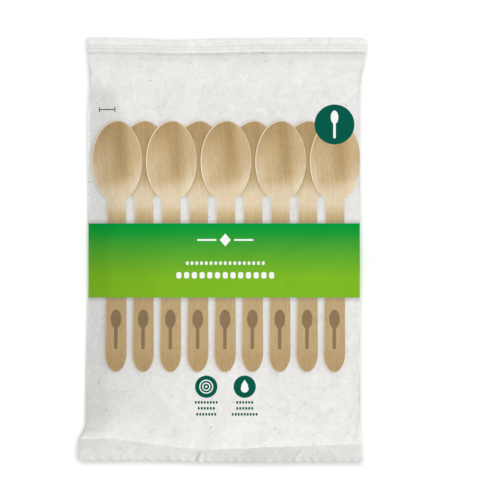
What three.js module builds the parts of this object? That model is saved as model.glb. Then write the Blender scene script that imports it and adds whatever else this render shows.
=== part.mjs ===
// A sealed paper pillow pack of wooden spoons, lying on its back with the printed front up.
// +X runs to the right of the front panel, +Y to the top seal and +Z out of the front.
// The origin is the middle of the pack's box, on the surface that it lies on. Millimetres.
import * as THREE from "three";
import { mergeGeometries, mergeVertices } from "three/addons/utils/BufferGeometryUtils.js";

// Overall sizes
const packLength = 192; // from one cut edge to the other
const bodyWidth = 124; // across the filled body
const packThickness = 29; // from the resting face to the crown of the front panel

// Filled body
const backBulge = 18; // how far the back panel would hang below the folds with nothing under it
const sectionPower = 2.7; // 2 is an elliptic section, and more is boxier

// End seals: two layers of paper crimped together, flared a little to one side. Level is the height
// of the seal line above the resting face, and curl is how far the cut edge rises from there.
// The spoons lie in the bottom of the pack, so its shoulder there is short and the top one long.
const topSeal = { height: 6.5, width: 127, shift: 1.3, level: 17, curl: 1.6 };
const bottomSeal = { height: 8.5, width: 129, shift: -1.7, level: 12, curl: 2.2 };
const topShoulder = 50; // from the seal line to where the body is at its full thickness
const bottomShoulder = 27;
const sealThickness = 0.5;
const edgeBevel = 0.25; // rounding of the cut edge
const ribCount = 3; // crimp ribs along each seal
const ribPitch = 1.6;
const ribHeight = 0.3;
const toothPitch = 4.6; // zigzag of the cut edges
const toothDepth = 0.9;

// Mesh steps along the pack
const shoulderSteps = 7;
const middleSteps = 2;

const paperColour = 0xeae9e6;

// Levels that follow from the sizes
const bottomEdge = -packLength / 2;
const topEdge = packLength / 2;
const bottomSealLine = bottomEdge + bottomSeal.height;
const topSealLine = topEdge - topSeal.height;
const teeth = Math.round(Math.max(topSeal.width, bottomSeal.width) / toothPitch);
const columns = 2 * teeth;

// Rows of one seal, from its cut edge inwards. The first row closes the edge, the second opens
// it to the seal's thickness, and the rest are the crests and valleys of the crimp ribs.
function sealRows(cutEdge, inward, seal) {
  const rows = [
    { y: cutEdge, inward, gap: 0, rib: 0 },
    { y: cutEdge + inward * edgeBevel, inward, gap: sealThickness, rib: 0 },
  ];
  const halfPitch = ribPitch / 2;
  for (let step = 2 * ribCount - 1; step >= 0; step--) {
    const depth = seal.height - (step + 0.5) * halfPitch;
    const side = step % 2 === 0 ? -1 : 1;
    rows.push({ y: cutEdge + inward * depth, inward: 0, gap: sealThickness, rib: (side * ribHeight) / 2 });
  }
  return rows;
}

// Rows of the filled body: close together on both shoulders and far apart between them.
function bodyRows() {
  const levels = [];
  for (let step = 0; step <= shoulderSteps; step++) {
    levels.push(bottomSealLine + (bottomShoulder * step) / shoulderSteps);
  }
  const middleStart = bottomSealLine + bottomShoulder;
  const middleLength = topSealLine - topShoulder - middleStart;
  for (let step = 1; step < middleSteps; step++) {
    levels.push(middleStart + (middleLength * step) / middleSteps);
  }
  for (let step = shoulderSteps; step >= 0; step--) {
    levels.push(topSealLine - (topShoulder * step) / shoulderSteps);
  }
  return levels.map((y) => ({ y, inward: 0, gap: sealThickness, rib: 0 }));
}

const rows = [
  ...sealRows(bottomEdge, 1, bottomSeal),
  ...bodyRows(),
  ...sealRows(topEdge, -1, topSeal).reverse(),
];

// A quarter of a sine wave: 0 at a seal line, easing to 1 at the end of its shoulder.
function shoulderRise(inside, shoulder) {
  return Math.sin((Math.PI / 2) * THREE.MathUtils.clamp(inside / shoulder, 0, 1));
}

// How full the pack is at a level: 0 at both seal lines and 1 on the body between the shoulders.
function fullness(y) {
  return shoulderRise(y - bottomSealLine, bottomShoulder) * shoulderRise(topSealLine - y, topShoulder);
}

// Height of the fold line: it runs from one seal's level to the other's along the body, and curls up
// along each seal towards its cut edge.
function foldHeight(y) {
  const seal = y < 0 ? bottomSeal : topSeal;
  const outside = Math.max(bottomSealLine - y, y - topSealLine, 0);
  const climb = THREE.MathUtils.smoothstep(y, bottomSealLine, topSealLine);
  const level = THREE.MathUtils.lerp(bottomSeal.level, topSeal.level, climb);
  return level + seal.curl * (outside / seal.height) ** 2;
}

// One point of the front sheet (face 1) or the back sheet (face -1), at column c and row r.
function sheetPoint(face, c, r) {
  const row = rows[r];
  const across = (2 * c) / columns - 1;
  const full = fullness(row.y);
  const seal = row.y < 0 ? bottomSeal : topSeal;
  const halfWidth = THREE.MathUtils.lerp(seal.width, bodyWidth, full) / 2;
  const rounded = THREE.MathUtils.lerp(across, Math.sin((Math.PI / 2) * across), full);
  const atSide = c === 0 || c === columns;
  const section = atSide ? 0 : Math.sqrt(1 - Math.abs(rounded) ** sectionPower);
  const halfGap = atSide ? 0 : row.gap / 2;
  const fold = foldHeight(row.y);
  const bulge = face > 0 ? packThickness - fold - sealThickness / 2 : backBulge;
  const height = fold + row.rib + face * (halfGap + bulge * full * section);
  const tooth = c % 2 === 0 ? 0 : toothDepth;
  return new THREE.Vector3(
    seal.shift * (1 - full) + rounded * halfWidth,
    row.y + row.inward * tooth,
    Math.max(0, height), // the surface under the pack flattens its back
  );
}

// A sheet of paper: a plane whose grid is moved onto the pack's surface.
function paperSheet(face) {
  const rowCount = rows.length - 1;
  const sheet = new THREE.PlaneGeometry(1, 1, columns, rowCount);
  const position = sheet.getAttribute("position");
  for (let i = 0; i < position.count; i++) {
    const c = i % (columns + 1);
    const r = rowCount - Math.floor(i / (columns + 1));
    position.setXYZ(i, ...sheetPoint(face, c, r).toArray());
  }
  if (face < 0) {
    const order = sheet.getIndex().array;
    for (let i = 0; i < order.length; i += 3) {
      [order[i + 1], order[i + 2]] = [order[i + 2], order[i + 1]];
    }
  }
  sheet.deleteAttribute("normal");
  sheet.deleteAttribute("uv");
  return sheet;
}

// The two sheets share their side folds and cut edges, so together they close one solid.
function packGeometry() {
  const joined = mergeVertices(mergeGeometries([paperSheet(1), paperSheet(-1)]));
  joined.computeBoundingBox();
  const middle = joined.boundingBox.getCenter(new THREE.Vector3());
  joined.translate(-middle.x, -middle.y, 0);
  joined.computeVertexNormals();
  return joined;
}

const paper = new THREE.MeshStandardMaterial({ color: paperColour, roughness: 0.75, metalness: 0 });
const pack = new THREE.Mesh(packGeometry(), paper);
pack.name = "sealed_paper_pack";

const spoonPack = new THREE.Group();
spoonPack.add(pack);

export default spoonPack;
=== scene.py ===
"""A sealed paper pillow pack of wooden spoons, lying on its back with its printed front up."""

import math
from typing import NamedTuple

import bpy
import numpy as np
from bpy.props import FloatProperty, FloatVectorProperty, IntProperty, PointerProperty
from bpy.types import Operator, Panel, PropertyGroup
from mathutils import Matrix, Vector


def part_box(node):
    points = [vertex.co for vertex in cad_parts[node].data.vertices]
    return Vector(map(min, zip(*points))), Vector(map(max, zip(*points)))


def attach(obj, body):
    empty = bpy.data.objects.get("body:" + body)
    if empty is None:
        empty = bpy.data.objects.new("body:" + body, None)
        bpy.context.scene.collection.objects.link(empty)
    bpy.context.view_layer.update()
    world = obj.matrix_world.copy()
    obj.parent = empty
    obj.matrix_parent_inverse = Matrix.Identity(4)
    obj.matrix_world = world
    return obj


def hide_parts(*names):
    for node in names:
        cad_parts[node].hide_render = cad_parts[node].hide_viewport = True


bl_info = {
    "name": "Wooden Cutlery Pack",
    "version": (1, 0, 0),
    "blender": (4, 5, 0),
    "location": "View3D > Sidebar > Cutlery Pack",
    "description": "Builds a sealed paper pack of wooden spoons with its printed front, and a studio stage",
    "category": "Add Mesh",
}

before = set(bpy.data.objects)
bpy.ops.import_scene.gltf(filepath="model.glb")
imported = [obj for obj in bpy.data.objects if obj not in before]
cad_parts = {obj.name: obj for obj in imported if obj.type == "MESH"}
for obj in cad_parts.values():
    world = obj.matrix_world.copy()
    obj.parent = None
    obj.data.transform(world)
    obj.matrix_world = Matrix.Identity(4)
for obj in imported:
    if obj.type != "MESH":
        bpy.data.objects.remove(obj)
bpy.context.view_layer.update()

PACK_NODE = "sealed_paper_pack"
MM = 0.001

ARTWORK_MAP = "Artwork"
BAKE_MAP = "OFBake"
BACK_SHIFT = 1.0  # how far to the side the back panel lies on the artwork map, in metres

PACK_LOW, PACK_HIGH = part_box(PACK_NODE)
PACK_LENGTH = PACK_HIGH[1] - PACK_LOW[1]
PACK_THICKNESS = PACK_HIGH[2] - PACK_LOW[2]


def ink(red, green, blue):
    """Linear colour of an sRGB colour written in steps of 0 to 255."""
    steps = np.array([red, green, blue]) / 255
    return tuple(np.where(steps <= 0.04045, steps / 12.92, ((steps + 0.055) / 1.055) ** 2.4))


def size(name, description, default):
    """A size in metres that a user can change."""
    return FloatProperty(name=name, description=description, default=default, unit="LENGTH", precision=4)


def light_share(name, description, default):
    """A share of full light that a user can change."""
    return FloatProperty(
        name=name, description=description, default=default, subtype="FACTOR", min=0, soft_max=1
    )


def colour(name, description, *steps):
    """A colour that a user can change, written in sRGB steps."""
    return FloatVectorProperty(
        name=name, description=description, default=ink(*steps), subtype="COLOR", min=0, max=1
    )


class PackSizes(PropertyGroup):
    """Sizes of the paper pack."""

    length: size("Length", "From one cut edge to the other", PACK_LENGTH)
    thickness: size("Thickness", "From the resting face to the crown of the front", PACK_THICKNESS)
    body_width: size("Body width", "Across the filled body", 123.2 * MM)
    body_shift: size("Body shift", "How far the body lies to the right of the box's middle", 0.65 * MM)
    body_lean: size("Body lean", "How far the left side steps out below the band", 1 * MM)
    top_width: size("Top seal width", "Across the top seal", 126.6 * MM)
    bottom_width: size("Bottom seal width", "Across the bottom seal", 128 * MM)
    top_shift: size("Top seal shift", "How far it lies to the right of the body", 1.35 * MM)
    bottom_shift: size("Bottom seal shift", "How far it lies to the right of the body", -1.7 * MM)
    top_level: size("Top seal level", "Height of the top seal line", 20 * MM)
    bottom_level: size("Bottom seal level", "Height of the bottom seal line", 23.4 * MM)
    fold_rise: size("Fold rise", "How far the side folds stand above the edges of the front", 0.1 * MM)
    crest_fall: size("Crest fall", "How far the front falls from its crest to the top seal", 8.6 * MM)
    bottom_fall: size("Bottom fall", "How far the front falls from its crest to the bottom seal", 4 * MM)
    top_shoulder: size("Top shoulder", "From the top seal line to the front panel", 4.5 * MM)
    bottom_easing: size("Bottom easing", "Over which the front levels out above the bottom seal", 6 * MM)
    top_taper: size("Top taper", "From the top seal line to the full width", 20 * MM)
    bottom_taper: size("Bottom taper", "From the bottom seal line to the full width", 8 * MM)
    back_taper: size("Back taper", "From either seal line to the full depth of the back", 34 * MM)
    top_seal: size("Top seal", "Height of the top seal", 5.8 * MM)
    bottom_seal: size("Bottom seal", "Least height of the bottom seal", 5.7 * MM)
    back_press: size("Back press", "How far the surface under the pack presses its back in", 6 * MM)
    seal_thickness: size("Seal thickness", "Two layers of paper", 0.45 * MM)
    tooth_pitch: size("Tooth pitch", "Zigzag of the cut edges", 4.4 * MM)
    tooth_depth: size("Tooth depth", "Depth of the zigzag", 0.7 * MM)
    rib_pitch: size("Rib pitch", "Crimp lines of the top seal", 1.6 * MM)
    rib_depth: size("Rib depth", "Depth of a crimp line", 0.17 * MM)
    seam_width: size("Seam width", "Lap seam down the back", 14 * MM)
    seam_step: size("Seam step", "How proud the lap seam stands", 0.3 * MM)
    front_power: FloatProperty(
        name="Front power", description="2 is an elliptic front section, and more is boxier", default=150
    )
    back_power: FloatProperty(
        name="Back power", description="2 is an elliptic back section, and more is boxier", default=2.7
    )
    columns: IntProperty(name="Columns", description="Mesh steps across one sheet", default=200)
    body_rows: IntProperty(name="Body rows", description="Mesh steps along the body", default=200)
    seal_rows: IntProperty(name="Seal rows", description="Mesh steps along each seal", default=24)


class PrintColours(PropertyGroup):
    """Colours of the paper and of the inks."""

    paper: colour("Paper", "Recycled paper", 235, 234, 231)
    speck: colour("Speck", "Bark specks in the paper", 104, 84, 58)
    shadow: colour("Shadow", "Printed shadow of the spoons and the band", 120, 120, 124)
    wood_dark: colour("Dark wood", "Hollow of a bowl", 174, 144, 100)
    wood: colour("Wood", "Bowl of a spoon", 202, 176, 133)
    wood_light: colour("Light wood", "Neck of a spoon", 233, 216, 186)
    wood_rim: colour("Wood rim", "Lit rim of a bowl", 246, 232, 206)
    wood_mark: colour("Wood mark", "Stamped mark on a handle", 129, 108, 79)
    band_top: colour("Band top", "Green at the top of the band", 0, 155, 57)
    band_high: colour("Band upper", "Green a little below the top", 30, 157, 55)
    band_middle: colour("Band middle", "Green in the middle of the band", 81, 168, 49)
    band_bottom: colour("Band bottom", "Green of the lower band", 128, 186, 37)
    deep_green: colour("Deep green", "Roundel and small marks", 3, 89, 72)
    white: colour("White", "White ink", 250, 251, 248)


class StageSettings(PropertyGroup):
    """Camera, floor and light."""

    field: size("Field", "Width of the picture at the pack", 225.9 * MM)
    camera_height: size("Camera height", "Above the floor", 2.6)
    aim_right: size("Aim right", "Middle of the picture, right of the pack's middle", 12.5 * MM)
    aim_up: size("Aim up", "Middle of the picture, above the pack's middle", 0.15 * MM)
    floor_size: size("Floor size", "Side of the floor", 12.0)
    key_distance: size("Key distance", "From the pack to the key light", 4.5)
    key_size: size("Key size", "Across the key light", 1.9)
    key_share: light_share("Key share", "Light on the pack from the lower right", 0.57)
    top_distance: size("Top distance", "From the pack to the top light", 1.5)
    top_width: size("Top width", "Across the top light, from left to right", 0.4)
    top_depth: size("Top depth", "Across the top light, from the top seal to the bottom one", 0.18)
    top_share: light_share("Top share", "Light on the floor from above", 0.68)
    sky_share: light_share("Sky share", "Light from all round", 0.44)
    floor_lift: light_share("Floor lift", "Light that shows in the floor and falls on nothing", 0.08)


# Small shapes, worked out on whole arrays


def smooth(value, start, end):
    """Smooth step: 0 before start, 1 after end, and 3s^2 - 2s^3 of the share s between them."""
    share = np.clip((value - start) / (end - start), 0, 1)
    return share * share * (3 - 2 * share)


def swell(value, centre, width):
    """Bell curve: 1 at the centre, falling to 1/e one width away."""
    return np.exp(-(((value - centre) / width) ** 2))


def fading(value, reach):
    """Falls from 1 where the value is 0 to 1/e one reach further."""
    return np.exp(-value / reach)


def scallop(value):
    """Cosine wave of period 1: 0 at whole numbers and 1 halfway between them."""
    return (1 - np.cos(math.tau * value)) / 2


def ripples(x, y, wavelength, seed, waves=9, sharp=0.0):
    """Sum of waves of about one wavelength, in seeded directions, scaled to about -1 to 1.

    Each is a cosine, or nears a triangle wave with flat sides as sharp nears 1.
    """
    draw = np.random.default_rng(seed)
    total = np.zeros(np.broadcast(x, y).shape)
    for _ in range(waves):
        heading = draw.uniform(0, math.tau)
        phase = draw.uniform(0, math.tau)
        pitch = wavelength * draw.uniform(0.7, 1.5)
        wave = np.cos(math.tau * (x * math.cos(heading) + y * math.sin(heading)) / pitch + phase)
        total += np.arcsin(sharp * wave) / math.asin(sharp) if sharp else wave
    return total / math.sqrt(2 * waves)


# Form of the pack

RIGHT_LIP = 0.3 * MM  # how far the right edge of the front turns up
SEAM_MIDDLE = 4 * MM  # place of the lap seam, right of the middle
SHARP_ANGLE = math.radians(50)  # from which an edge of the mesh is shaded sharp

# Folds of the pleat in the bottom seal, from left to right: rise, place and width, in millimetres
PLEAT_FOLDS = ((-0.4, -11.3, 0.6), (0.3, -9.6, 0.8), (0.5, -8.6, 2.6), (-0.3, -7.9, 0.6))


class Plan(NamedTuple):
    """Where the points of a sheet lie, seen from the front. Each field is an array over the sheet's grid."""

    x: np.ndarray
    y: np.ndarray
    across: np.ndarray  # the first parameter
    rounded: np.ndarray  # place between the folds, from -1 to 1
    in_bottom: np.ndarray  # shares of the bottom seal, the body and the top seal that lie below
    in_body: np.ndarray
    in_top: np.ndarray
    bottom_height: np.ndarray  # heights of the two seals
    top_height: np.ndarray
    from_left: np.ndarray  # distances to the folds and the seal lines
    from_right: np.ndarray
    from_bottom: np.ndarray
    from_top: np.ndarray


def seal_heights(sizes, across):
    """Heights of the bottom and the top seal at each place across the pack.

    The bottom seal line sags to a low point near the middle: it rises along a smooth step to the left fold
    and along a flattening curve to the right one, and it wavers a little. The top one bows down a little.
    """
    low_point = -0.037
    left_rise = 5.3 * MM
    right_rise = 2.6 * MM
    top_bow = 0.7 * MM
    left = np.clip((low_point - across) / (1 + low_point), 0, 1)
    right = np.clip((across - low_point) / (1 - low_point), 0, 1)
    waver = 0.2 * MM * ripples(across * sizes.bottom_width / 2, 0 * across, 14 * MM, seed=7)
    bottom = sizes.bottom_seal + left_rise * smooth(left, 0, 0.9) + right_rise * right**0.8 + waver
    top = sizes.top_seal + top_bow * swell(across, -0.25, 0.35)
    return bottom, top


def shoulder_rise(inside, shoulder):
    """A quarter of a sine wave: 0 at a seal line, easing to 1 at the end of its shoulder."""
    return np.sin(math.pi / 2 * np.clip(inside / shoulder, 0, 1))


def pack_plan(sizes, across, along):
    """Plan of a sheet over its two parameters.

    Points stand evenly across a seal and crowd as a sine towards the folds of the full body, and the width
    and the middle run from a seal's to the body's along its taper. The left side is pinched in below the
    top seal and leans out below the band. The cut edges are zigzags: the bottom one is bowed in on both
    sides and cut back at its corners, and the top one dips left of the middle and rises to both corners.
    """
    bottom_height, top_height = seal_heights(sizes, across)
    body_length = sizes.length - bottom_height - top_height
    in_bottom = np.clip(along, 0, 1)
    in_body = np.clip(along - 1, 0, 1)
    in_top = np.clip(along - 2, 0, 1)
    from_bottom = body_length * in_body
    from_top = body_length - from_bottom
    full = shoulder_rise(from_bottom, sizes.bottom_taper) * shoulder_rise(from_top, sizes.top_taper)

    lower = in_body < 0.5
    seal_width = np.where(lower, sizes.bottom_width, sizes.top_width)
    seal_shift = np.where(lower, sizes.bottom_shift, sizes.top_shift)
    half_width = (seal_width + (sizes.body_width - seal_width) * full) / 2
    rounded = across + (np.sin(math.pi / 2 * across) - across) * full
    x = sizes.body_shift + seal_shift * (1 - full) + rounded * half_width

    y = -sizes.length / 2 + bottom_height * in_bottom + from_bottom + top_height * in_top
    lean = sizes.body_lean * smooth(y, -15 * MM, -60 * MM)
    pinch = 1.1 * MM * swell(y, 78 * MM, 11 * MM)
    x = x + (pinch - lean * full) * (1 - rounded) / 2

    tooth = sizes.tooth_depth * scallop(x / sizes.tooth_pitch + 0.2 * ripples(x, 0 * x, 17 * MM, seed=3))
    corner = 0.7 * MM * np.clip((np.abs(across) - 0.95) / 0.05, 0, 1) ** 3
    bow = 0.85 * MM * smooth(across, 0.1, -0.6) + 0.2 * MM * smooth(across, 0.35, 0.7)
    dip = 0.8 * MM * swell(across, -0.35, 0.22) + 0.1 * MM - 0.25 * MM * across**2
    y = y + (tooth + corner + bow) * (1 - in_bottom) ** 4
    y = y - (0.5 * tooth + dip) * in_top**4
    return Plan(
        x, y, across, rounded, in_bottom, in_body, in_top, bottom_height, top_height,
        (1 + rounded) * half_width, (1 - rounded) * half_width, from_bottom, from_top,
    )


def bottom_seal_relief(plan):
    """How far the bottom seal bends up, from its seal line (outward 0) to its cut edge (outward 1).

    It tilts up and droops a little, and from a kink at the middle it also slopes up to the right. The folds
    of the pleat stand on slanted lines left of the kink, a ridge on another is the crease further right,
    and the left corner is lifted.
    """
    x, y, across = plan.x, plan.y, plan.across
    outward = 1 - plan.in_bottom
    kink = -1.4 * MM
    right_reach = 22 * MM
    right_slope = 0.1 * right_reach * (1 - fading(np.maximum(x - kink, 0), right_reach))
    past_kink = smooth(across, -0.1, 0.1)
    right_calm = 0.2 * smooth(across, 0.2, 0.7) + 0.1 * smooth(across, 0.75, 0.95)
    tilt = 0.335 + 0.065 * past_kink - right_calm
    droop = 0.32 - 0.17 * past_kink
    climb = tilt * plan.bottom_height * (1 + droop * (1 - outward)) + right_slope

    pleat_line = x - 0.25 * (y + 91 * MM)
    pleat = sum(rise * MM * swell(pleat_line, place * MM, width * MM) for rise, place, width in PLEAT_FOLDS)
    crease_line = x - 36.6 * MM - 0.75 * (y + 89.5 * MM)
    crease = 0.32 * MM * swell(crease_line, 0, 0.75 * MM)
    slow = 0.18 * MM * ripples(x, y, 26 * MM, seed=4)
    quick = 0.07 * MM * ripples(x, y, 6 * MM, seed=5, waves=15)
    left_lift = 1.2 * MM * fading(across + 1, 0.14)
    details = pleat + crease + slow + quick + left_lift
    return climb * outward + details * smooth(outward, 0, 0.6)


def top_seal_relief(sizes, plan):
    """How far the top seal bends: down over its crimp lines, and up from there to its cut edge.

    The downward slope eases to level at the bend, so the fall to a depth d is slope (d - d^2 / (2 bend)).
    """
    bend = 3.4 * MM
    down_slope = 0.28
    up_slope = 0.3
    inside = plan.in_top * plan.top_height
    bent = np.minimum(inside, bend)
    curl = up_slope * np.maximum(inside - bend, 0) - down_slope * (bent - bent**2 / (2 * bend))
    crimped = 1 - smooth(inside, 3.2 * MM, 4.2 * MM)
    ribs = -sizes.rib_depth * (1 - scallop(inside / sizes.rib_pitch)) ** 3 * crimped
    wave = 0.18 * MM * ripples(plan.x, plan.y, 30 * MM, seed=9) * smooth(plan.in_top, 0, 0.6)
    return curl + ribs + wave


def seal_relief(sizes, plan):
    """How far the seals and the paper beside them stand off the smooth fold surface.

    Along the top seal line runs a valley with a small ridge below it, the top left corner turns up in a lip
    and the top right one dips.
    """
    on_bottom = bottom_seal_relief(plan) * (plan.in_bottom < 1)
    on_top = top_seal_relief(sizes, plan) * (plan.from_top <= 0)
    below_line = plan.from_top - plan.top_height * plan.in_top
    valley_depth = 0.14 * MM + 0.25 * MM * smooth(plan.across, -0.9, -0.4)
    valley = valley_depth * swell(below_line, 0, 0.85 * MM)
    ridge = 0.14 * MM * swell(below_line, 1.5 * MM, 0.4 * MM)
    left_lip = 1 * MM * fading(plan.from_left, 5 * MM) * swell(plan.y, 88 * MM, 5 * MM)
    right_dip = 0.35 * MM * fading(plan.from_right, 2.5 * MM) * swell(plan.y, 91 * MM, 3 * MM)
    return on_bottom + on_top - valley + ridge + left_lip - right_dip


def left_slump(from_left, from_bottom, y):
    """How far the slack left side of the front hangs below a level panel.

    It is a flat facet beside the fold, hung from a swelling that dies away down and across the pack, and
    an even slope that levels out over its reach, v of the way along it, and grows down the pack: the
    integral of 1 - 3v^2 + 2v^3 is v - v^3 + v^4 / 2. Both end above the bottom seal. The facet starts
    along a slanting line under the top corner, and more slowly further from the fold.
    """
    even_width = 12 * MM
    even_slope = 0.28
    slope_reach = 36 * MM
    swelling_reach = 50 * MM
    corner_line = 79.5 * MM - 0.32 * from_left
    start_length = 8 * MM + 1.2 * np.maximum(from_left - even_width, 0)
    started = smooth((corner_line - y) / start_length, 0, 1)
    grown = smooth(y, 70 * MM, -5 * MM)
    ended = smooth(from_bottom, 0, 5 * MM) * (1 - 0.5 * swell(from_bottom, 0, 9 * MM))
    tapered = grown * smooth(from_bottom, 2 * MM, 26 * MM)

    softness = 0.8 * MM + 2.7 * MM * (1 - grown)
    facet_width = 16 * MM - 6.5 * MM * grown
    facet_slope = 0.38 + 0.12 * grown - 0.28 * tapered
    facet = facet_slope * softness * np.log1p(np.exp((facet_width - from_left) / softness))
    past_facet = np.maximum(from_left, facet_width)
    swelling = 3.5 * MM * (1 - grown) * swell(past_facet, facet_width, swelling_reach)

    level = np.clip((from_left - even_width) / slope_reach, 0, 1)
    levelling = slope_reach * (0.5 - level + level**3 - level**4 / 2)
    slope = even_slope * (np.maximum(even_width - from_left, 0) + levelling)
    return (facet - swelling) * started * ended + slope * tapered


def front_creases(plan):
    """Buckles of the front sheet, added to its height.

    Pleats run out of both seals and die away, and so do crinkles out of the bottom one. Small waves cross
    the side folds near the corners, the right edge and the lower left one turn up in a lip, and slow and
    quick waves cross the whole panel, some of them as flat facets.
    """
    x, y = plan.x, plan.y
    pleat = ripples(x, 0.25 * y, 15 * MM, seed=2)
    bottom_pleats = 0.3 * MM * fading(plan.from_bottom, 8 * MM) * smooth(plan.from_bottom, 0, 3 * MM)
    top_pleats = 0.14 * MM * fading(plan.from_top, 7 * MM) * smooth(plan.from_top, 0, 3 * MM)
    crinkles = 0.13 * MM * fading(plan.from_bottom, 4 * MM)
    crinkles = crinkles * ripples(x, 1.6 * y, 5 * MM, seed=21, waves=15, sharp=0.9)

    right_wave = np.sin(math.tau * (y - 85 * MM) / (6.4 * MM))
    right_waves = right_wave * swell(y, 82 * MM, 7 * MM) * fading(plan.from_right, 6 * MM)
    left_wave = np.sin(math.tau * (y - 86.8 * MM) / (8.6 * MM)) * smooth(plan.from_left, 0, 1.5 * MM)
    left_waves = left_wave * swell(y, 83 * MM, 7 * MM) * fading(plan.from_left, 5 * MM)
    low_wave = np.cos(math.tau * (y + 0.18 * x) / (3.7 * MM) + 0.9 * ripples(x, y, 11 * MM, seed=6))
    from_fold = np.minimum(plan.from_left, plan.from_right)
    low_waves = low_wave * swell(y, -84 * MM, 4 * MM) * fading(from_fold, 7 * MM)
    low_lip = 0.35 * MM * fading(plan.from_left, 2.5 * MM) * swell(y, -80 * MM, 7 * MM)
    right_lip = RIGHT_LIP * fading(plan.from_right, 1.4 * MM)
    sides = 0.2 * MM * (right_waves + left_waves + low_waves) + low_lip + right_lip

    slow = 0.22 * MM * ripples(x, y, 46 * MM, seed=11)
    slow_facets = 0.16 * MM * ripples(x, y, 22 * MM, seed=14, sharp=0.98)
    quick_facets = 0.1 * MM * ripples(x, y, 10 * MM, seed=12, sharp=0.95)
    quick = 0.045 * MM * ripples(x, y, 5 * MM, seed=13, waves=15)
    calm = smooth(np.minimum(plan.from_bottom, plan.from_top), 0, 12 * MM)
    waves = (slow + slow_facets) * calm + quick_facets + quick
    return pleat * (bottom_pleats + top_pleats) + crinkles + sides + waves


def edge_heights(sizes, plan):
    """Heights of the front's right edge and of the folds, and the share of its rise that the front has made.

    The right edge leaves the level of the bottom seal along an exponential curve and that of the top seal
    along a quarter of a sine wave, and follows the crest between them. The crest falls towards both seals,
    with a low swell just below the top one. The left edge is lower by the slump, and the folds run straight
    from edge to edge.
    """
    top_swell = 0.8 * MM * swell(plan.y, 83 * MM, 7 * MM)
    crest = sizes.thickness - sizes.crest_fall * smooth(plan.in_body, 0, 0.7) + top_swell
    crest = crest - sizes.bottom_fall * (1 - smooth(plan.in_body, 0, 0.5))
    level = sizes.bottom_level + (sizes.top_level - sizes.bottom_level) * smooth(plan.in_body, 0, 1)
    bottom_rise = 1 - fading(plan.from_bottom, sizes.bottom_easing)
    rise = bottom_rise * shoulder_rise(plan.from_top, sizes.top_shoulder)
    right_edge = level + (crest - level) * rise
    left_edge = right_edge - left_slump(0, plan.from_bottom, plan.y)
    right_fold = right_edge + RIGHT_LIP * rise
    fold = left_edge + (right_fold - left_edge) * (plan.across + 1) / 2 + sizes.fold_rise * rise
    return right_edge, fold, rise


def superellipse(place, power):
    """Height of a section that is 1 in the middle and 0 at both folds, at places from -1 to 1."""
    return np.sqrt(np.clip(1 - np.abs(place) ** power, 0, 1))


def front_bulge(sizes, plan, right_edge, fold, rise):
    """How far the front stands above the folds: a boxy section up to the panel.

    The panel lies at the height of the right edge, less the slump of the left side, plus the buckles.
    """
    buckles = front_creases(plan) * (rise > 0)
    panel = right_edge - left_slump(plan.from_left, plan.from_bottom, plan.y) + buckles
    return (panel - fold) * superellipse(plan.rounded, sizes.front_power)


def back_heights(sizes, plan, edge, half_gap):
    """Heights of the back: a rounder section that hangs from the folds and is pressed flat, with a lap seam.

    A height h is pressed to (h + sqrt(h^2 + s^2)) / 2 with a softness s, which nears 0 below the floor.
    """
    softness = 1.4 * MM
    depth = shoulder_rise(plan.from_bottom, sizes.back_taper) * shoulder_rise(plan.from_top, sizes.back_taper)
    depth = depth * superellipse(plan.rounded, sizes.back_power)
    hang = edge - half_gap - (edge + sizes.back_press) * depth
    pressed = (hang + np.sqrt(hang**2 + softness**2)) / 2
    beside_seam = np.abs(plan.x - SEAM_MIDDLE) - sizes.seam_width / 2
    return pressed + sizes.seam_step * smooth(beside_seam, 0, 0.7 * MM) * depth


def pack_sheet(sizes, face, across, along):
    """Points of the front sheet (face 1) or the back sheet (face -1) over two parameters.

    across runs from the left fold (-1) to the right one (1). along runs from the bottom cut edge (0) over
    the bottom seal line (1) and the top seal line (2) to the top cut edge (3). Each section is a pair of
    superellipses that meet at the folds. In the seals only the thickness of the paper parts the sheets.
    """
    plan = pack_plan(sizes, across, along)
    right_edge, fold, rise = edge_heights(sizes, plan)
    edge = fold + seal_relief(sizes, plan)
    seal_power = 60
    half_gap = sizes.seal_thickness / 2 * superellipse(across, seal_power)
    if face > 0:
        z = edge + half_gap + front_bulge(sizes, plan, right_edge, fold, rise)
    else:
        z = back_heights(sizes, plan, edge, half_gap)
    return np.stack([plan.x, plan.y, z], axis=-1)


def sheet_parameters(sizes):
    """Grids of the two parameters: even steps across, and steps along that crowd together at the seals."""
    across = np.linspace(-1, 1, sizes.columns + 1)
    seal = np.linspace(0, 1, sizes.seal_rows + 1)
    body = np.linspace(0, 1, sizes.body_rows + 1)[1:-1]
    crowding = 0.55
    body = body - crowding * np.sin(math.tau * body) / math.tau
    along = np.concatenate([seal, 1 + body, 2 + seal])
    return np.meshgrid(across, along)


def quads(*corners):
    """List of four-sided faces, from four arrays of vertex numbers."""
    return np.stack(corners, axis=-1).reshape(-1, 4).tolist()


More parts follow.
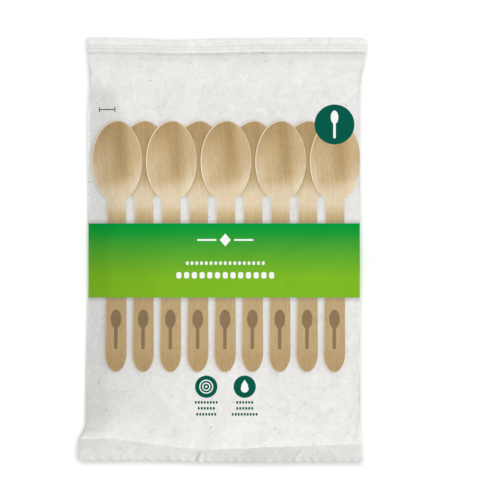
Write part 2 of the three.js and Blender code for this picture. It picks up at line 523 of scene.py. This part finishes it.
def pack_mesh(sizes):
    """Closed mesh of the two sheets, which share their side folds, with a strip that closes each cut edge."""
    across, along = sheet_parameters(sizes)
    rows, columns = across.shape
    front_points = pack_sheet(sizes, 1, across, along)
    back_points = pack_sheet(sizes, -1, across, along)
    back_points[..., 2] -= back_points[..., 2].min()
    front_points[:, [0, -1]] = (front_points[:, [0, -1]] + back_points[:, [0, -1]]) / 2

    front = np.arange(rows * columns).reshape(rows, columns)
    back = front.copy()
    back[:, 1:-1] = rows * columns + np.arange(rows * (columns - 2)).reshape(rows, columns - 2)
    points = np.concatenate([front_points.reshape(-1, 3), back_points[:, 1:-1].reshape(-1, 3)])

    front_faces = quads(front[:-1, :-1], front[:-1, 1:], front[1:, 1:], front[1:, :-1])
    back_faces = quads(back[:-1, :-1], back[1:, :-1], back[1:, 1:], back[:-1, 1:])
    bottom_edge = quads(front[0, 1:-2], back[0, 1:-2], back[0, 2:-1], front[0, 2:-1])
    top_edge = quads(front[-1, 1:-2], front[-1, 2:-1], back[-1, 2:-1], back[-1, 1:-2])
    corners = np.array([
        [front[0, 0], back[0, 1], front[0, 1]],
        [front[0, -1], front[0, -2], back[0, -2]],
        [front[-1, 0], front[-1, 1], back[-1, 1]],
        [front[-1, -1], back[-1, -2], front[-1, -2]],
    ])
    edge_faces = bottom_edge + top_edge + corners.tolist()
    mesh = bpy.data.meshes.new("paper_pack")
    mesh.from_pydata(points.tolist(), [], front_faces + back_faces + edge_faces)

    flat_across = np.concatenate([across.ravel(), across[:, 1:-1].ravel()])
    lay_out_maps(mesh, points, flat_across, len(front_faces), len(back_faces))
    mesh.shade_smooth()
    mesh.set_sharp_from_angle(angle=SHARP_ANGLE)
    return mesh


# Bake map: where each strip of the unit square starts and how far it spans
FRONT_STRIP = (0.004, 0.66)
BACK_STRIP = (0.674, 0.322)
PANEL_STRIP = (0.012, 0.976)
BOTTOM_MARGIN = 0.002
TOP_MARGIN = 0.994
MARGIN_WIDTH = 0.004
MARGIN_RANGE = 30 * MM  # height on the pack that the width of a margin stands for


def on_strip(strip, share):
    """Place on a strip of the bake map, by a share from 0 at its start to 1 at its end."""
    return strip[0] + strip[1] * share


def lay_out_maps(mesh, points, across, front_count, back_count):
    """Gives the mesh its two maps.

    The artwork map is the plan of the pack in metres, with the back panel a fixed step to the right. The
    bake map lays the front on the left two thirds of the square, the back on the right third and the
    strips of the cut edges in the margins.
    """
    corner_vertex = np.empty(len(mesh.loops), dtype=np.int32)
    mesh.loops.foreach_get("vertex_index", corner_vertex)
    on_front = np.arange(len(corner_vertex)) < 4 * front_count
    on_edge = np.arange(len(corner_vertex)) >= 4 * (front_count + back_count)
    place = points[corner_vertex]

    plan = place[:, :2].copy()
    plan[:, 0] += np.where(on_front, 0, BACK_SHIFT)
    mesh.uv_layers.new(name=ARTWORK_MAP).uv.foreach_set("vector", plan.astype(np.float32).ravel())

    share_across = (across[corner_vertex] + 1) / 2
    low, high = points[:, 1].min(), points[:, 1].max()
    share_along = (place[:, 1] - low) / (high - low)
    share_up = np.clip((place[:, 2] - points[:, 2].min()) / MARGIN_RANGE, 0, 1)
    margin = np.where(share_along > 0.5, TOP_MARGIN, BOTTOM_MARGIN) + MARGIN_WIDTH * share_up
    on_left = on_front | on_edge
    bake = np.empty_like(plan)
    bake[:, 0] = np.where(on_left, on_strip(FRONT_STRIP, share_across), on_strip(BACK_STRIP, share_across))
    bake[:, 1] = np.where(on_edge, margin, on_strip(PANEL_STRIP, share_along))
    mesh.uv_layers.new(name=BAKE_MAP).uv.foreach_set("vector", bake.astype(np.float32).ravel())
    mesh.uv_layers.active = mesh.uv_layers[ARTWORK_MAP]


# Print, drawn as arithmetic on the artwork map


class Field:
    """A number that varies over a surface: a node socket that can be written as arithmetic."""

    def __init__(self, tree, socket):
        self.tree = tree
        self.socket = socket

    def math(self, operation, *others):
        """Adds one math node that works on this field and the other numbers or fields."""
        node = add_node(self.tree, "Math")
        node.operation = operation
        for entry, value in zip(node.inputs, (self, *others)):
            feed(self.tree, entry, value)
        return Field(self.tree, node.outputs[0])

    def __add__(self, other):
        return self.math("ADD", other)

    def __sub__(self, other):
        return self.math("SUBTRACT", other)

    def __mul__(self, other):
        return self.math("MULTIPLY", other)

    def __truediv__(self, other):
        return self.math("DIVIDE", other)

    def __abs__(self):
        return self.math("ABSOLUTE")

    __radd__ = __add__
    __rmul__ = __mul__

    def __rsub__(self, other):
        return self * -1 + other

    def lesser(self, other):
        return self.math("MINIMUM", other)

    def greater(self, other):
        return self.math("MAXIMUM", other)

    def root(self):
        return self.math("SQRT")

    def fade(self, reach):
        """Falls from 1 where the field is 0 or less to 1/e one reach further."""
        return (self.greater(0) / -reach).math("EXPONENT")

    def wrapped(self, period):
        """Repeats every period, from minus half a period to plus half of one."""
        return self.math("WRAP", period / 2, -period / 2)

    def step(self, start, end):
        """Smooth step from 0 at start to 1 at end."""
        node = add_node(self.tree, "MapRange", Value=self)
        node.interpolation_type = "SMOOTHSTEP"
        feed(self.tree, node.inputs["From Min"], start)
        feed(self.tree, node.inputs["From Max"], end)
        return Field(self.tree, node.outputs["Result"])

    def inside(self, softness=0.1 * MM):
        """1 where a distance is negative and 0 where it is positive, with a soft edge."""
        return self.step(softness / 2, -softness / 2)


def feed(tree, entry, value):
    """Links a field or a socket to a node's input, or sets a plain number, vector or colour on it."""
    if isinstance(value, Field):
        tree.links.new(value.socket, entry)
    elif isinstance(value, bpy.types.NodeSocket):
        tree.links.new(value, entry)
    elif entry.type == "RGBA":
        entry.default_value = (*value, 1)
    else:
        entry.default_value = value


def add_node(tree, kind, **entries):
    """Adds a shader node and feeds its inputs, by name."""
    node = tree.nodes.new("ShaderNode" + kind)
    for name, value in entries.items():
        feed(tree, node.inputs[name], value)
    return node


def blend(tree, share, below, above):
    """Colour between two colours, by a share from 0 to 1."""
    node = add_node(tree, "Mix")
    node.data_type = "RGBA"
    node.clamp_factor = True
    feed(tree, node.inputs["Factor"], share)
    feed(tree, node.inputs["A"], below)
    feed(tree, node.inputs["B"], above)
    return node.outputs["Result"]


def ramp(tree, share, stops):
    """Colour that runs from stop to stop as a share grows from 0 to 1."""
    node = add_node(tree, "ValToRGB", Fac=share)
    elements = node.color_ramp.elements
    while len(elements) < len(stops):
        elements.new(0.5)
    for element, (place, shade) in zip(elements, stops):
        element.position = place
        element.color = (*shade, 1)
    return node.outputs["Color"]


def oval(x, y, half_width, half_length):
    """Distance to an ellipse, true near its edge: with k = |p / r| and g = |p / r^2|, it is k (k - 1) / g."""
    a = x / half_width
    b = y / half_length
    k = (a * a + b * b).root()
    a = a / half_width
    b = b / half_length
    g = (a * a + b * b).root()
    return k * (k - 1) / g


def disc(x, y, radius):
    """Distance to a circle."""
    return (x * x + y * y).root() - radius


def bar(x, y, half_width, half_height, rounding):
    """Distance to a rectangle with rounded corners."""
    a = abs(x) - (half_width - rounding)
    b = abs(y) - (half_height - rounding)
    outside = (a.greater(0) * a.greater(0) + b.greater(0) * b.greater(0)).root()
    return outside + a.greater(b).lesser(0) - rounding


def lozenge(x, y, half_width, half_height):
    """Distance to a lozenge: |x| / w + |y| / h - 1, scaled to a length."""
    reach = half_width * half_height / math.hypot(half_width, half_height)
    return (abs(x) / half_width + abs(y) / half_height - 1) * reach


def bead_row(x, y, count, pitch, half_width, half_height):
    """Distance to a row of rounded beads about the origin."""
    half = count * pitch / 2
    across = x.wrapped(pitch) if count % 2 else (x + pitch / 2).wrapped(pitch)
    bead = bar(across, y, half_width, half_height, min(half_width, half_height) * 0.8)
    return bead.greater(abs(x) - half)


def small_spoon(x, y, half_length):
    """Distance to a plain upright spoon sign: an oval joined to a rounded bar."""
    bowl = oval(x, y - 0.52 * half_length, 0.27 * half_length, 0.48 * half_length)
    handle = bar(x, y + 0.35 * half_length, 0.09 * half_length, 0.65 * half_length, 0.08 * half_length)
    return bowl.lesser(handle)


# Places of the print on the front panel, from the middle of the pack's box
ROW_MIDDLE = 1.4 * MM
ROW_LEAN = 0.006
FRONT_SPOONS = 5
BACK_SPOONS = 4
SPOON_PITCH = 24.75 * MM
BOWL_MIDDLE = 40.4 * MM
BOWL_HALF_WIDTH = 11.5 * MM
BOWL_HALF_LENGTH = 18.3 * MM
NECK_LEVEL = 23.6 * MM
NECK_HALF_WIDTH = 4.2 * MM
HANDLE_HALF_WIDTH = 4.95 * MM
TIP_MIDDLE = -46.3 * MM
TIP_LENGTH = 8.8 * MM
STAMP_MIDDLE = -35.8 * MM
STAMP_HALF_LENGTH = 9 * MM
BAND_TOP = 12.2 * MM
BAND_BOTTOM = -21.4 * MM
ORNAMENT_MIDDLE = 1.3 * MM
RULE_LEVEL = 4.7 * MM
SMALL_BEADS_LEVEL = -5.8 * MM
LARGE_BEADS_LEVEL = -11.3 * MM
ROUNDEL = (50.8 * MM, 57.05 * MM)
ROUNDEL_RADIUS = 9.05 * MM
SIGN_HALF_LENGTH = 6.3 * MM
ICON_LEVEL = -61.7 * MM
ICON_PLACES = (-7.3 * MM, 10.1 * MM)
ICON_RADIUS = 5.05 * MM
CAPTION_LEVEL = -68.8 * MM
CAPTION_SPACING = 2.7 * MM
CAPTION_BEADS = ((8, 6, 7), (6, 6, 9))  # in each row under each disc
MEASURE = (-52.2 * MM, 63.8 * MM)
MEASURE_HALF_LENGTH = 3.6 * MM
MEASURE_END = 3.5 * MM


def spoon_distance(x, y):
    """Distance to one spoon: an oval bowl joined to a handle that widens to a rounded tip."""
    bowl = oval(x, y - BOWL_MIDDLE, BOWL_HALF_WIDTH, BOWL_HALF_LENGTH)
    widening = (HANDLE_HALF_WIDTH - NECK_HALF_WIDTH) / (NECK_LEVEL - TIP_MIDDLE)
    side = abs(x) - (NECK_HALF_WIDTH + (NECK_LEVEL - y) * widening)
    shaft = side.greater(TIP_MIDDLE - y).greater(y - NECK_LEVEL)
    tip = oval(x, y - TIP_MIDDLE, HANDLE_HALF_WIDTH, TIP_LENGTH)
    return bowl.lesser(shaft).lesser(tip)


def cloud(tree, place, scale, detail):
    """Cloudy noise about 0, over given coordinates."""
    node = add_node(tree, "TexNoise", Vector=place, Scale=scale, Detail=detail)
    return Field(tree, node.outputs["Fac"]) - 0.5


def wood_grain(tree, x, y):
    """Streaks along the printed spoons, which lean in the bowls: noise stretched far and less far."""
    leaning = x + (y - NECK_LEVEL).greater(0) * 0.1
    total = 0
    for across, along, amount in ((620, 22, 0.2), (1900, 45, 0.36), (2400, 330, 0.5)):
        place = add_node(tree, "CombineXYZ", X=leaning * across, Y=y * along)
        total = cloud(tree, place.outputs["Vector"], 1, 2) * amount + total
    return total


def wood_colour(tree, inks, x, y, distance, grain):
    """Printed wood of one spoon: light on the neck, dark in the hollow of its bowl and lit along its rim.

    The bowl is shaded over a and b, which run from -1 to 1 across and along it.
    """
    a = x / BOWL_HALF_WIDTH
    b = (y - BOWL_MIDDLE) / BOWL_HALF_LENGTH
    hollow_x = (a - 0.19) / 0.33
    hollow_y = (b - 0.08) / 0.6
    hollow = (hollow_x * hollow_x + hollow_y * hollow_y).fade(1)
    crown = b.step(0.05, 0.95) * a.step(0.6, 0.1)
    foot = (b - a * 0.15).step(-0.35, -0.8)
    flanks = abs(a).step(0.4, 0.85) * b.step(0.2, -0.3)
    bowl = 0.5 - 0.38 * hollow - 0.4 * crown + 0.4 * foot + 0.2 * flanks
    above_tip = y.step(-54 * MM, -40 * MM)
    near_neck = y.step(12.5 * MM, 21.8 * MM)
    handle = 0.14 + 0.16 * above_tip + 0.6 * near_neck
    tone = handle + (bowl - handle) * y.step(22 * MM, 27 * MM) + grain
    wood = ramp(tree, tone, ((0, inks.wood_dark), (0.45, inks.wood), (1, inks.wood_light)))

    above_neck = y.step(23 * MM, 27 * MM)
    left = a.step(0.25, -0.35)
    bowl_light = (0.3 + 0.65 * left) * b.step(-0.85, -0.4)
    rim_light = bowl_light * above_neck + 0.4 * left * (1 - above_neck)
    rim = (distance + 0.34 * MM).step(-0.2 * MM, 0.1 * MM) * rim_light
    return blend(tree, rim, wood, inks.wood_rim)


def turned(tree, place, stretch, turn):
    """Coordinates stretched along their axes and turned about the upright one."""
    return add_node(tree, "Mapping", Vector=place, Scale=stretch, Rotation=(0, 0, turn)).outputs["Vector"]


def threads(tree, place, scale, turn):
    """Short curled fibres: the zero line of one noise, broken up by another."""
    line = abs(cloud(tree, turned(tree, place, (1, 1, 1), turn), scale, 1)).step(0.035, 0)
    gaps = cloud(tree, turned(tree, place, (1, 1, 1), turn + 2), scale * 0.8, 1).step(0.02, 0.12)
    return line * gaps


def specks(tree, place, scale, stretch, turn):
    """Scattered soft flecks of unlike strength: the middles of a stretched cell pattern."""
    radius = 0.22
    cells = add_node(tree, "TexVoronoi", Vector=turned(tree, place, stretch, turn), Scale=scale)
    shade = add_node(tree, "SeparateColor", Color=cells.outputs["Color"])
    strength = Field(tree, shade.outputs["Red"])
    return Field(tree, cells.outputs["Distance"]).step(radius, 0) * strength * strength * strength


def paper_texture(tree, inks):
    """Recycled paper: clouds, mottle, curled fibres and bark specks. Returns its colour, grain and height."""
    place = add_node(tree, "TexCoord").outputs["Object"]
    clouds = cloud(tree, place, 45, 3)
    mottle = cloud(tree, place, 260, 3)
    pores = cloud(tree, place, 1900, 2)
    flat_fibres = cloud(tree, turned(tree, place, (420, 2600, 420), 0.05), 1, 2)
    steep_fibres = cloud(tree, turned(tree, place, (1500, 380, 700), 0.3), 1, 2)
    fibres = flat_fibres + steep_fibres
    pale = threads(tree, place, 240, 0.4)
    dark = threads(tree, place, 280, 1.7)
    tone = 1 + clouds * 0.11 + mottle * 0.17 + fibres * 0.13 + pale * 0.075 - dark * 0.085
    red, green, blue = (tone * share for share in inks.paper)
    base = add_node(tree, "CombineColor", Red=red, Green=green, Blue=blue).outputs["Color"]
    base = blend(tree, specks(tree, place, 230, (1, 1.7, 1), 0.5) * 0.5, base, inks.speck)
    base = blend(tree, specks(tree, place, 400, (1.6, 1, 1), 0.2) * 0.4, base, inks.speck)
    height = fibres * 0.6 + mottle * 1.3 + pores * 0.5 + pale * 0.3
    return base, fibres, height


def band_colour(tree, inks, y):
    """Green of the band: four stops from its top edge down."""
    places = (0.03, 0.15, 0.36, 0.74)
    greens = (inks.band_top, inks.band_high, inks.band_middle, inks.band_bottom)
    return ramp(tree, (BAND_TOP - y) / (BAND_TOP - BAND_BOTTOM), tuple(zip(places, greens)))


def draw_spoons(tree, inks, base, x, y):
    """Two rows of printed spoons, one behind in the gaps of the other, each with a soft printed shadow."""
    along_row = x - ROW_MIDDLE - y * ROW_LEAN
    front_x = along_row.wrapped(SPOON_PITCH)
    back_x = (along_row + SPOON_PITCH / 2).wrapped(SPOON_PITCH)
    past_front = abs(along_row) - FRONT_SPOONS / 2 * SPOON_PITCH
    past_back = abs(along_row) - BACK_SPOONS / 2 * SPOON_PITCH
    front = spoon_distance(front_x, y).greater(past_front)
    back = spoon_distance(back_x, y).greater(past_back)
    grain = wood_grain(tree, x, y)
    for distance, spoon_x in ((back, back_x), (front, front_x)):
        shade = distance.fade(1.1 * MM) * 0.27 + distance.fade(0.4 * MM) * 0.18
        base = blend(tree, shade * (0.35 + 0.65 * spoon_x.step(4 * MM, -4 * MM)), base, inks.shadow)
    base = blend(tree, back.inside(), base, wood_colour(tree, inks, back_x, y, back, grain))
    base = blend(tree, front.fade(0.9 * MM) * back.inside() * 0.45, base, inks.wood_mark)
    base = blend(tree, front.inside(), base, wood_colour(tree, inks, front_x, y, front, grain))
    stamp_y = y - STAMP_MIDDLE
    front_stamp = small_spoon(front_x, stamp_y, STAMP_HALF_LENGTH).greater(past_front)
    back_stamp = small_spoon(back_x, stamp_y, STAMP_HALF_LENGTH).greater(past_back)
    return blend(tree, front_stamp.lesser(back_stamp).inside(0.25 * MM) * 0.85, base, inks.wood_mark)


def draw_marks(tree, inks, base, x, y):
    """Small plain marks: a roundel with a spoon sign, two discs, rows of beads and a measuring line."""
    roundel_x, roundel_y = x - ROUNDEL[0], y - ROUNDEL[1]
    roundel = disc(roundel_x, roundel_y, ROUNDEL_RADIUS)
    base = blend(tree, roundel.inside(), base, inks.deep_green)
    base = blend(tree, small_spoon(roundel_x, roundel_y, SIGN_HALF_LENGTH).inside(), base, inks.white)

    icon_y = y - ICON_LEVEL
    for place in ICON_PLACES:
        icon = disc(x - place, icon_y, ICON_RADIUS)
        base = blend(tree, icon.inside(), base, inks.deep_green)
    rings_x = x - ICON_PLACES[0]
    rings = abs(disc(rings_x, icon_y, 2.9 * MM)).lesser(abs(disc(rings_x, icon_y, 1.6 * MM))) - 0.24 * MM
    rings = rings.lesser(disc(rings_x, icon_y, 0.5 * MM))
    drop_x = x - ICON_PLACES[1]
    drop_point = lozenge(drop_x, icon_y - 0.6 * MM, 1.6 * MM, 2.6 * MM)
    drop = disc(drop_x, icon_y + 0.9 * MM, 1.75 * MM).lesser(drop_point)
    base = blend(tree, rings.lesser(drop).inside(), base, inks.white)

    measure_x, measure_y = x - MEASURE[0], y - MEASURE[1]
    marks = bar(measure_x, measure_y, MEASURE_HALF_LENGTH, 0.22 * MM, 0.1 * MM)
    marks = marks.lesser(bar(abs(measure_x) - MEASURE_END, measure_y, 0.22 * MM, 1.1 * MM, 0.1 * MM))
    for place, counts in zip(ICON_PLACES, CAPTION_BEADS):
        for line, count in enumerate(counts):
            caption_y = y - (CAPTION_LEVEL - line * CAPTION_SPACING)
            marks = marks.lesser(bead_row(x - place, caption_y, count, 1.35 * MM, 0.45 * MM, 0.62 * MM))
    return blend(tree, marks.inside(), base, inks.deep_green)


def draw_band(tree, inks, base, x, y):
    """Green band all round the pack, with a printed shadow along both edges and plain white ornaments."""
    below = BAND_BOTTOM - y
    above = y - BAND_TOP
    band = below.greater(above)
    shade = band.step(2 * MM, 1.4 * MM) * 0.2 + band.fade(0.5 * MM) * 0.35
    base = blend(tree, shade, base, inks.shadow)
    base = blend(tree, band.inside(), base, band_colour(tree, inks, y))
    middle = x - ORNAMENT_MIDDLE
    rule_y = y - RULE_LEVEL
    rules = bar(abs(middle) - 8.4 * MM, rule_y, 4.4 * MM, 0.4 * MM, 0.35 * MM)
    between_rules = lozenge(middle, rule_y, 2.5 * MM, 2.9 * MM)
    small = bead_row(middle, y - SMALL_BEADS_LEVEL, 17, 2.15 * MM, 0.62 * MM, 0.8 * MM)
    large = bead_row(middle, y - LARGE_BEADS_LEVEL, 13, 3.5 * MM, 1.15 * MM, 1.45 * MM)
    ornaments = rules.lesser(between_rules).lesser(small).lesser(large)
    return blend(tree, ornaments.inside(), base, inks.white)


def printed_paper(inks):
    """Material of the pack: recycled paper with the print on its front and the band all round."""
    material = bpy.data.materials.new("printed_paper")
    material.use_nodes = True
    tree = material.node_tree
    shader = tree.nodes["Principled BSDF"]
    artwork = add_node(tree, "UVMap")
    artwork.uv_map = ARTWORK_MAP
    split = add_node(tree, "SeparateXYZ", Vector=artwork.outputs["UV"])
    x = Field(tree, split.outputs["X"])
    y = Field(tree, split.outputs["Y"])

    base, fibres, height = paper_texture(tree, inks)
    base = draw_spoons(tree, inks, base, x, y)
    base = draw_band(tree, inks, base, x, y)
    base = draw_marks(tree, inks, base, x, y)
    bump = add_node(tree, "Bump", Height=height, Strength=0.35, Distance=0.12 * MM)
    feed(tree, shader.inputs["Base Color"], base)
    feed(tree, shader.inputs["Normal"], bump.outputs["Normal"])
    feed(tree, shader.inputs["Roughness"], 0.68 + fibres * 0.2)
    shader.inputs["Specular IOR Level"].default_value = 0.03
    return material


class CUTLERY_OT_paper_pack(Operator):
    """Builds the sealed paper pack with its printed front"""

    bl_idname = "cutlery.paper_pack"
    bl_label = "Paper Pack"
    bl_options = {"REGISTER", "UNDO"}

    def execute(self, context):
        mesh = pack_mesh(context.scene.pack_sizes)
        mesh.materials.append(printed_paper(context.scene.print_colours))
        pack = bpy.data.objects.new("paper_pack", mesh)
        context.scene.collection.objects.link(pack)
        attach(pack, "root")
        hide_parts(PACK_NODE)
        return {"FINISHED"}


# Stage

KEY_DIRECTION = (0.54, -0.3, 0.78)  # from the pack to each light
TOP_DIRECTION = (0.02, 0.024, 1)
FLOOR_COLOUR = (0.9, 0.9, 0.9)
SENSOR_WIDTH = 36  # of the camera, in millimetres


def seen_directly(tree):
    """1 for a ray from the camera, a mirror or glass, and 0 for one that carries light."""
    path = add_node(tree, "LightPath")
    names = ("Is Camera Ray", "Is Glossy Ray", "Is Transmission Ray")
    camera, glossy, transmission = (Field(tree, path.outputs[name]) for name in names)
    return camera.greater(glossy).greater(transmission)


def floor_material(stage):
    """Pale matt floor, lifted a little where it is seen directly, so that only close shadows show."""
    material = bpy.data.materials.new("pale_floor")
    material.use_nodes = True
    tree = material.node_tree
    tree.nodes.remove(tree.nodes["Principled BSDF"])
    matt = add_node(tree, "BsdfDiffuse", Color=FLOOR_COLOUR)
    lift = add_node(tree, "Emission", Strength=seen_directly(tree) * stage.floor_lift)
    both = add_node(tree, "AddShader")
    tree.links.new(matt.outputs["BSDF"], both.inputs[0])
    tree.links.new(lift.outputs["Emission"], both.inputs[1])
    tree.links.new(both.outputs["Shader"], tree.nodes["Material Output"].inputs["Surface"])
    return material


def sky(stage):
    """Even light from all round, white where it is seen directly."""
    world = bpy.data.worlds.new("studio")
    world.use_nodes = True
    tree = world.node_tree
    background = tree.nodes["Background"]
    background.inputs["Color"].default_value = (1, 1, 1, 1)
    feed(tree, background.inputs["Strength"], stage.sky_share + seen_directly(tree) * (1 - stage.sky_share))
    return world


def soft_light(name, towards, distance, width, depth, share):
    """Oval soft light in a direction from the pack, hidden from the camera.

    Its power makes a level white surface at the origin as bright as its share.
    """
    towards = Vector(towards).normalized()
    lamp = bpy.data.lights.new(name, "AREA")
    lamp.shape = "ELLIPSE"
    lamp.size = width
    lamp.size_y = depth
    lamp.energy = share * (math.pi * distance) ** 2 / towards.z
    light = bpy.data.objects.new(name, lamp)
    light.location = towards * distance
    light.rotation_euler = towards.to_track_quat("Z", "Y").to_euler()
    light.visible_camera = False
    return light


def shine_on(light, pieces):
    """Lets a light fall on some pieces only."""
    receivers = bpy.data.collections.new(light.name + " receivers")
    for piece in pieces:
        receivers.objects.link(piece)
    light.light_linking.receiver_collection = receivers


class CUTLERY_OT_stage(Operator):
    """Builds the floor, the light and the camera that looks straight down on the pack"""

    bl_idname = "cutlery.stage"
    bl_label = "Stage"
    bl_options = {"REGISTER", "UNDO"}

    def execute(self, context):
        scene = context.scene
        stage = scene.stage_settings
        half = stage.floor_size / 2
        floor_mesh = bpy.data.meshes.new("floor")
        floor_mesh.from_pydata(
            [(-half, -half, 0), (half, -half, 0), (half, half, 0), (-half, half, 0)], [], [(0, 1, 2, 3)]
        )
        floor_mesh.materials.append(floor_material(stage))
        floor = bpy.data.objects.new("floor", floor_mesh)
        scene.collection.objects.link(floor)

        key_size = stage.key_size
        key = soft_light("key", KEY_DIRECTION, stage.key_distance, key_size, key_size, stage.key_share)
        top = soft_light(
            "top", TOP_DIRECTION, stage.top_distance, stage.top_width, stage.top_depth, stage.top_share
        )
        shine_on(key, [piece for piece in scene.objects if piece.type == "MESH" and piece is not floor])
        shine_on(top, [floor])
        scene.collection.objects.link(key)
        scene.collection.objects.link(top)

        lens = bpy.data.cameras.new("camera")
        lens.sensor_width = SENSOR_WIDTH
        lens.lens = SENSOR_WIDTH * (stage.camera_height - PACK_HIGH[2]) / stage.field
        camera = bpy.data.objects.new("camera", lens)
        camera.location = (stage.aim_right, stage.aim_up, stage.camera_height)
        scene.collection.objects.link(camera)
        scene.camera = camera
        scene.world = sky(stage)
        scene.view_settings.view_transform = "Standard"
        return {"FINISHED"}


class CUTLERY_PT_pack(Panel):
    """Lists the pieces of the cutlery pack and its stage"""

    bl_idname = "CUTLERY_PT_pack"
    bl_label = "Cutlery Pack"
    bl_space_type = "VIEW_3D"
    bl_region_type = "UI"
    bl_category = "Cutlery Pack"

    def draw(self, context):
        layout = self.layout
        for operator in OPERATORS:
            layout.operator(operator.bl_idname)
        for group_name, group in GROUPS.items():
            box = layout.box()
            for name in group.__annotations__:
                box.prop(getattr(context.scene, group_name), name)


OPERATORS = (CUTLERY_OT_paper_pack, CUTLERY_OT_stage)
GROUPS = {"pack_sizes": PackSizes, "print_colours": PrintColours, "stage_settings": StageSettings}
CLASSES = (*GROUPS.values(), *OPERATORS, CUTLERY_PT_pack)


def register():
    for cls in CLASSES:
        bpy.utils.register_class(cls)
    for name, group in GROUPS.items():
        setattr(bpy.types.Scene, name, PointerProperty(type=group))


def unregister():
    for name in GROUPS:
        delattr(bpy.types.Scene, name)
    for cls in reversed(CLASSES):
        bpy.utils.unregister_class(cls)


def main():
    register()
    bpy.ops.cutlery.paper_pack()
    bpy.ops.cutlery.stage()


if __name__ == "__main__":
    main()
